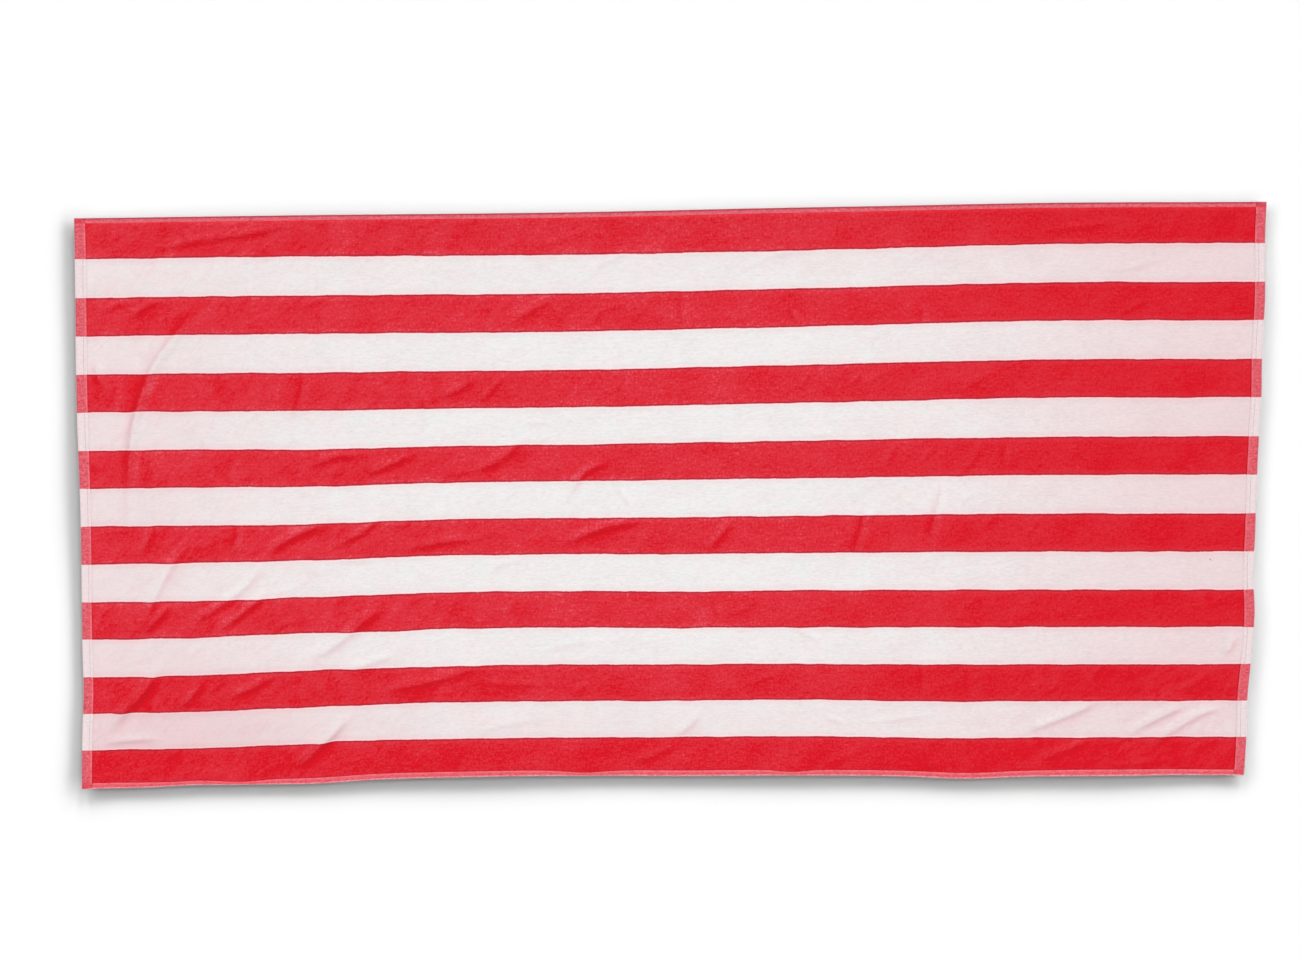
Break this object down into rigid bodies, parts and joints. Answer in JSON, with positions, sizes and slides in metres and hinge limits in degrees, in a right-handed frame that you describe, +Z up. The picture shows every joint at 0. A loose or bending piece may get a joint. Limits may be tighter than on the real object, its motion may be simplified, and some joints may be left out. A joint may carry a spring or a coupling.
{
  "type": "beach towel",
  "caption": "Oblong beach towel of cotton velour in lengthwise red and white stripes, with turned hems, laid out flat on its back in soft uneven creases.",
  "frame": {"origin": "middle of the towel's outline, on the surface that it lies on", "axes": "+X along the stripes, which is the towel's length, +Y across them, +Z up from the surface that it lies on"},
  "size_m": [1.5438, 0.7478, 0.0076],
  "materials": {
    "striped_velour": "sheared cotton velour terry, yarn-dyed in even red and white stripes, matt with a soft nap"
  },
  "bodies": {
    "root": {"towel": "striped_velour"}
  },
  "joints": []
}
